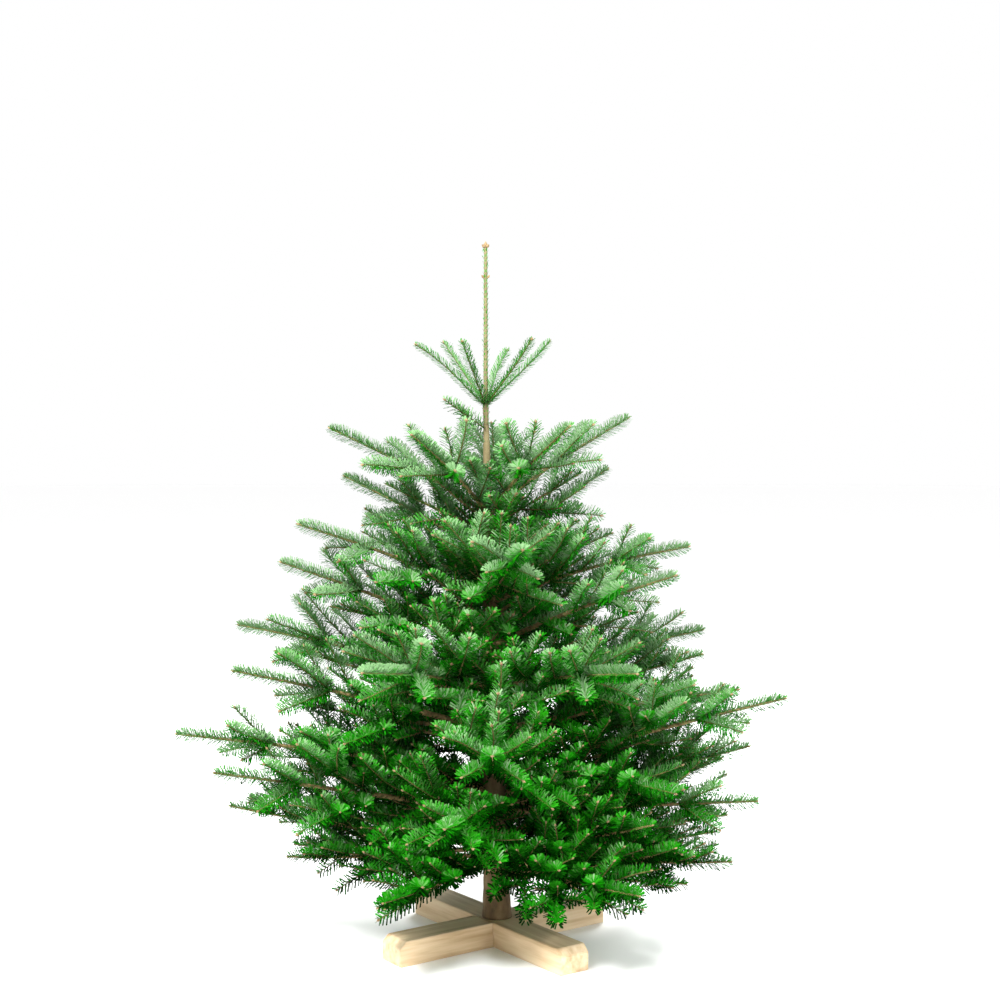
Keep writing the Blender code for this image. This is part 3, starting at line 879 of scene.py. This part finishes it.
def noise_at(nodes, links, scale, detail=4.0, stretch=(1, 1, 1)):
    """The value of noise over the object's own coordinates, stretched along its axes."""
    place = nodes.new("ShaderNodeTexCoord")
    mapping = nodes.new("ShaderNodeMapping")
    mapping.inputs["Scale"].default_value = stretch
    texture = nodes.new("ShaderNodeTexNoise")
    texture.inputs["Scale"].default_value = scale
    texture.inputs["Detail"].default_value = detail
    links.new(place.outputs["Object"], mapping.inputs["Vector"])
    links.new(mapping.outputs["Vector"], texture.inputs["Vector"])
    return texture.outputs["Fac"]


def ramp_of(nodes, links, source, stops):
    """The colour that a ramp gives a value, from (position, colour) stops."""
    ramp = nodes.new("ShaderNodeValToRGB")
    elements = ramp.color_ramp.elements
    while len(elements) < len(stops):
        elements.new(0.5)
    for element, (position, colour) in zip(elements, stops):
        element.position = position
        element.color = (*colour, 1)
    links.new(source, ramp.inputs["Fac"])
    return ramp.outputs["Color"]


def add_bump(nodes, links, shader, height, strength, distance):
    """Relief in the shading only, from a value, its depth in metres."""
    bump = nodes.new("ShaderNodeBump")
    bump.inputs["Strength"].default_value = strength
    bump.inputs["Distance"].default_value = distance
    links.new(height, bump.inputs["Height"])
    links.new(bump.outputs["Normal"], shader.inputs["Normal"])


def add_roughness(nodes, links, shader, source, low, high):
    """A roughness that varies with a value between low and high."""
    spread = nodes.new("ShaderNodeMapRange")
    spread.inputs["To Min"].default_value = low
    spread.inputs["To Max"].default_value = high
    links.new(source, spread.inputs["Value"])
    links.new(spread.outputs["Result"], shader.inputs["Roughness"])


def needle_material(name, colour, roughness):
    """Waxy needles of one tone, a little uneven in their gloss. The paler tones get more specular; their
    paleness is partly wax and partly painted light.
    """
    made, nodes, links, shader = principled(name, colour, roughness)
    shader.inputs["Specular IOR Level"].default_value = 0.03 + 0.4 * colour[0]
    grain = noise_at(nodes, links, scale=900, detail=2)
    add_roughness(nodes, links, shader, grain, roughness - 0.1, roughness + 0.12)
    return made


def bark_material():
    """Brown-grey bark, folded and flecked, turning olive from the upper crown up to the leader."""
    made, nodes, links, shader = principled("bark", (0.16, 0.11, 0.07), 0.85)
    broad = noise_at(nodes, links, scale=38, detail=5, stretch=(1, 1, 0.45))
    brown = ramp_of(nodes, links, broad, BARK_STOPS)
    young = ramp_of(nodes, links, broad, YOUNG_BARK_STOPS)
    place = nodes.new("ShaderNodeTexCoord")
    split = nodes.new("ShaderNodeSeparateXYZ")
    links.new(place.outputs["Object"], split.inputs["Vector"])
    height = nodes.new("ShaderNodeMapRange")
    height.inputs["From Min"].default_value = CUT_HEIGHT + OLIVE_HEIGHTS[0]
    height.inputs["From Max"].default_value = CUT_HEIGHT + OLIVE_HEIGHTS[1]
    links.new(split.outputs["Z"], height.inputs["Value"])
    # The mix's colours in and out go by number, as its sockets for other kinds of value share their names
    mix = nodes.new("ShaderNodeMix")
    mix.data_type = "RGBA"
    links.new(height.outputs["Result"], mix.inputs["Factor"])
    links.new(brown, mix.inputs[6])
    links.new(young, mix.inputs[7])
    links.new(mix.outputs[2], shader.inputs["Base Color"])
    fine = noise_at(nodes, links, scale=420, detail=6, stretch=(1, 1, 0.6))
    add_bump(nodes, links, shader, fine, strength=0.7, distance=0.0015)
    return made


def twig_material(name, stops):
    """Young bark, mottled."""
    made, nodes, links, shader = principled(name, stops[0][1], 0.75)
    mottle = noise_at(nodes, links, scale=160)
    links.new(ramp_of(nodes, links, mottle, stops), shader.inputs["Base Color"])
    add_bump(nodes, links, shader, mottle, strength=0.3, distance=0.0004)
    return made


def timber_material():
    """Sawn softwood, its grain along the timber's length."""
    made, nodes, links, shader = principled("timber", (0.62, 0.46, 0.28), 0.62)
    grain = noise_at(nodes, links, scale=9, detail=6, stretch=(0.7, 9, 9))
    links.new(ramp_of(nodes, links, grain, TIMBER_STOPS), shader.inputs["Base Color"])
    saw = noise_at(nodes, links, scale=260, detail=3, stretch=(1, 0.15, 0.15))
    add_bump(nodes, links, shader, saw, strength=0.25, distance=0.0005)
    add_roughness(nodes, links, shader, grain, low=0.5, high=0.75)
    return made


def steel_material():
    """Bright zinc on the screws."""
    made, nodes, links, shader = principled("screw_steel", (0.55, 0.53, 0.48), 0.35)
    shader.inputs["Metallic"].default_value = 1.0
    patina = noise_at(nodes, links, scale=700, detail=3)
    add_roughness(nodes, links, shader, patina, low=0.25, high=0.5)
    return made


# The stand

def object_from(bm, name, material):
    """An object in the scene from a bmesh, which is freed."""
    mesh = bpy.data.meshes.new(name)
    bm.to_mesh(mesh)
    bm.free()
    mesh.materials.append(material)
    return add_object(name, mesh)


def timber_piece(node, azimuth, material):
    """One timber of the cross, with its sawn edges eased."""
    bm = bmesh.new()
    bm.from_mesh(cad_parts[node].data)
    bmesh.ops.remove_doubles(bm, verts=bm.verts, dist=MERGE_DISTANCE)
    bmesh.ops.dissolve_limit(bm, angle_limit=radians(FLAT_ANGLE), verts=bm.verts, edges=bm.edges)
    turn = Matrix.Rotation(radians(-azimuth), 3, "Z")
    bmesh.ops.rotate(bm, cent=(0, 0, 0), matrix=turn, verts=bm.verts)
    sharp = [edge for edge in bm.edges if edge.calc_face_angle(0) > radians(SHARP_ANGLE)]
    bmesh.ops.bevel(bm, geom=sharp, offset=EASED_EDGE, segments=2, affect="EDGES")
    made = object_from(bm, node + "_timber", material)
    made.rotation_euler.z = radians(azimuth)
    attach(made, "root")
    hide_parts(node)


def screw_piece(name, x, y, top, material):
    """A countersunk screw's head with a cross recess."""
    bm = bmesh.new()
    round_size = {"radius1": SCREW_RADIUS, "radius2": SCREW_RADIUS, "depth": SCREW_HEAD_DEPTH}
    bmesh.ops.create_cone(bm, cap_ends=True, segments=32, **round_size)
    lid = max(bm.faces, key=lambda face: face.calc_center_median().z)
    bmesh.ops.inset_region(bm, faces=[lid], thickness=SCREW_RIM)
    for vert in lid.verts:
        vert.co.z -= SCREW_DISH
    bmesh.ops.inset_region(bm, faces=[lid], thickness=SCREW_RADIUS * RECESS_SHARE)
    for vert in lid.verts:
        angle = atan2(vert.co.y, vert.co.x)
        stretch = 1.0 + RECESS_ARMS * abs(cos(2 * angle)) ** 3
        vert.co.x *= stretch
        vert.co.y *= stretch
        vert.co.z -= RECESS_DEPTH
    made = object_from(bm, name, material)
    made.location = (x, y, top - SCREW_SUNK)
    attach(made, "root")


def make_stand():
    """The two timbers and the four screws, in the corners of the lap."""
    timber = timber_material()
    timber_piece("cross_beam_lower", CROSS_TURN, timber)
    timber_piece("cross_beam_upper", CROSS_TURN + 90, timber)
    steel = steel_material()
    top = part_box("cross_beam_lower")[1].z
    for i in range(4):
        angle = radians(CROSS_TURN + 45 + 90 * i)
        place = (SCREW_CIRCLE * cos(angle), SCREW_CIRCLE * sin(angle))
        screw_piece(f"screw_{i + 1}", *place, top, steel)


# The wood

def twig_radii(curve, order):
    """A side branch's radius at each point, thicker the older its wood."""
    years = curve.ages + 1 - np.linspace(0, 1, len(curve.points)) * TWIG_TAPER
    full, loss = ORDER_GIRTH
    return TWIG_RADIUS * (TWIG_GIRTH + YEARLY_GIRTH * years) * (full - loss * order)


def make_wood(limbs):
    """The trunk, the limbs and the twigs, as three joined pieces."""
    bark = bark_material()
    roots = []
    limb_parts = []
    twig_parts = []
    twig_ages = []
    for name, branches in limbs.items():
        for number, branch in enumerate(branches):
            rng = np.random.default_rng(seed_of(name, number))
            if branch.order == 0:
                limb_parts.append(limb_wood_arrays(branch, rng))
                heading = (branch.line[1] - branch.line[0]).normalized()
                roots.append((branch.line[0], heading, bough_radius(0, length_of(branch.line))))
                continue
            curve = curve_of(branch, TWIG_STEP, rng)
            sides = TWIG_SIDES[branch.order]
            radii = twig_radii(curve, branch.order)
            twig_parts.append(tube_arrays(curve.points, curve.across, curve.above, radii, sides))
            ring_age = np.repeat(curve.ages[:-1], sides)
            caps = np.repeat(curve.ages[[0, -1]], sides - 2)
            twig_ages.append(np.concatenate([ring_age, ring_age, caps]))
    trunk = mesh_object("trunk_bark", *trunk_arrays(roots), [bark])
    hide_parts("trunk")
    old = twig_material("old_twig", OLD_TWIG_STOPS)
    young = twig_material("young_twig", YOUNG_TWIG_STOPS)
    boughs = mesh_object("boughs", *join_arrays(limb_parts), [old])
    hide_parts(*[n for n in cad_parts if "_bough_" in n])
    ages = np.concatenate(twig_ages)
    twigs = mesh_object("twigs", *join_arrays(twig_parts), [young, old], (ages > 0).astype(int))


# The needles and buds

def seed_of(name, number):
    """A whole number for a branch's own random draws, the same on each run."""
    return sum((i + 1) * ord(c) for i, c in enumerate(name)) * 1000 + number


def habit_and_fullness(name, branch, tip):
    """How a branch carries its needles, and how fully."""
    if name.startswith("top_shoot"):
        return TOP_HABIT, 1.0
    fullness = INNER_FULLNESS + (OUTER_FULLNESS - INNER_FULLNESS) * outward_share(tip) ** 2
    return (TWIG_HABIT if branch.order else LIMB_HABIT), fullness


def needles_of(name, branches):
    """All needles of one limb, and the buds at its tips, larger the more light they have."""
    found = []
    buds = []
    for number, branch in enumerate(branches):
        rng = np.random.default_rng(seed_of(name, number))
        curve = curve_of(branch, NEEDLE_STEP, rng)
        tip = curve.points[-1]
        exposure = min(1.0, max(0.0, exposure_of(tip) + rng.normal(0, EXPOSURE_SCATTER)))
        habit, fullness = habit_and_fullness(name, branch, tip)
        found.append(needles_on(curve, TWIG_RADIUS, rng, habit, exposure, fullness))
        smallest, gain = BUD_SIZES
        buds += buds_at(curve, rng, smallest + gain * exposure, branch.order)
    return joined_needles(found), buds


def leader_needles():
    """The short, sparse needles that lie close along the leader, and its buds."""
    line = [trunk_axis(LEADER_FROM), trunk_axis(TREE_HEIGHT - END_BUD_ROOM)]
    rng = np.random.default_rng(7)
    curve = curve_of(Branch(line, Vector((0, 1, 0)), 0), NEEDLE_STEP, rng)
    radii = np.array([trunk_radius(point[2] - CUT_HEIGHT) for point in curve.points])
    made = needles_on(curve, radii, rng, LEADER_HABIT, LEADER_EXPOSURE)
    tip, along = curve.points[-1], curve.along[-1]
    buds = [bud_arrays(tip - along * LEADER_END_BUD.set_back, along, LEADER_END_BUD)]
    for i in range(RING_BUDS):
        angle = 2 * pi * i / RING_BUDS + RING_TURN
        heading = np.array([cos(angle) * 0.9, sin(angle) * 0.9, 1.0])
        place = tip - along * LEADER_RING_BUD.set_back + heading * 0.002
        buds.append(bud_arrays(place, heading, LEADER_RING_BUD))
    for side in (-1, 1):
        heading = np.array([side * 0.8, -0.3, 0.7])
        place = np.array(trunk_axis(LEADER_BUDS)) + np.array([side * LEADER_RADIUS * 0.6, 0, 0])
        buds.append(bud_arrays(place, heading, LEADER_SIDE_BUD))
    return made, buds


def make_needles(limbs):
    """Needles in pieces within the limit, each hiding the model's parts for the limbs in it, and the buds.
    """
    # The tones are lit and shaded copies of each face's colour: painted light and painted shade
    materials = [needle_material(f"needle_upper_{i + 1}", c, 0.5) for i, c in enumerate(UPPER_COLOURS)]
    materials += [needle_material(f"needle_under_{i + 1}", c, 0.6) for i, c in enumerate(UNDER_COLOURS)]
    leader, buds = leader_needles()
    batch, nodes, size = [leader], [], 0
    grown = []
    for name, branches in limbs.items():
        needles, more = needles_of(name, branches)
        buds += more
        count = len(needles.roots) * len(BLADE_FACES)
        if size + count > PIECE_LIMIT:
            grown.append((batch, nodes))
            batch, nodes, size = [], [], 0
        batch.append(needles)
        nodes.append(name)
        size += count
    grown.append((batch, nodes))
    for number, (batch, nodes) in enumerate(grown, 1):
        vertices, triangles, tones = needle_arrays(joined_needles(batch))
        piece = mesh_object(f"needles_{number}", vertices, triangles, materials, tones, smooth=False)
        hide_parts(*[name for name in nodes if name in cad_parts])
    bud = twig_material("bud", BUD_STOPS)
    piece = mesh_object("buds", *join_arrays(buds), [bud])


# The stage

def area_light(name, place, width, power):
    """A round soft light that faces the crown."""
    light = bpy.data.lights.new(name, "AREA")
    light.shape = "DISK"
    light.size = width
    light.energy = power
    made = add_object(name, light)
    made.location = place
    made.rotation_euler = (LIGHT_AIM - Vector(place)).to_track_quat("-Z", "Y").to_euler()


def make_stage():
    """A plain pale floor, soft light, and the camera level with the middle of the crown."""
    scene = bpy.context.scene
    scene.view_settings.view_transform = "Standard"
    bm = bmesh.new()
    bmesh.ops.create_circle(bm, cap_ends=True, segments=96, radius=FLOOR_RADIUS)
    floor = object_from(bm, "floor", principled("floor", FLOOR_COLOUR, 0.8)[0])
    world = bpy.data.worlds.new("studio")
    world.use_nodes = True
    background = world.node_tree.nodes["Background"]
    background.inputs["Color"].default_value = (1, 1, 1, 1)
    background.inputs["Strength"].default_value = WORLD_STRENGTH
    scene.world = world
    for light in LIGHTS:
        area_light(*light)
    camera = bpy.data.cameras.new("camera")
    camera.sensor_width = SENSOR_WIDTH
    camera.lens = SENSOR_WIDTH * CAMERA_DISTANCE / (IMAGE_SIZE * METRES_PER_PIXEL)
    camera.shift_y = -STAND_SHIFT
    made = add_object("camera", camera)
    height = CUT_HEIGHT + (FOOT_PIXEL - IMAGE_SIZE / 2) * METRES_PER_PIXEL
    made.location = ((IMAGE_SIZE / 2 - TRUNK_PIXEL) * METRES_PER_PIXEL, -CAMERA_DISTANCE, height)
    made.rotation_euler = (radians(90), 0, 0)
    scene.camera = made


limbs = grow_tree()
make_stand()
make_wood(limbs)
make_needles(limbs)
make_stage()
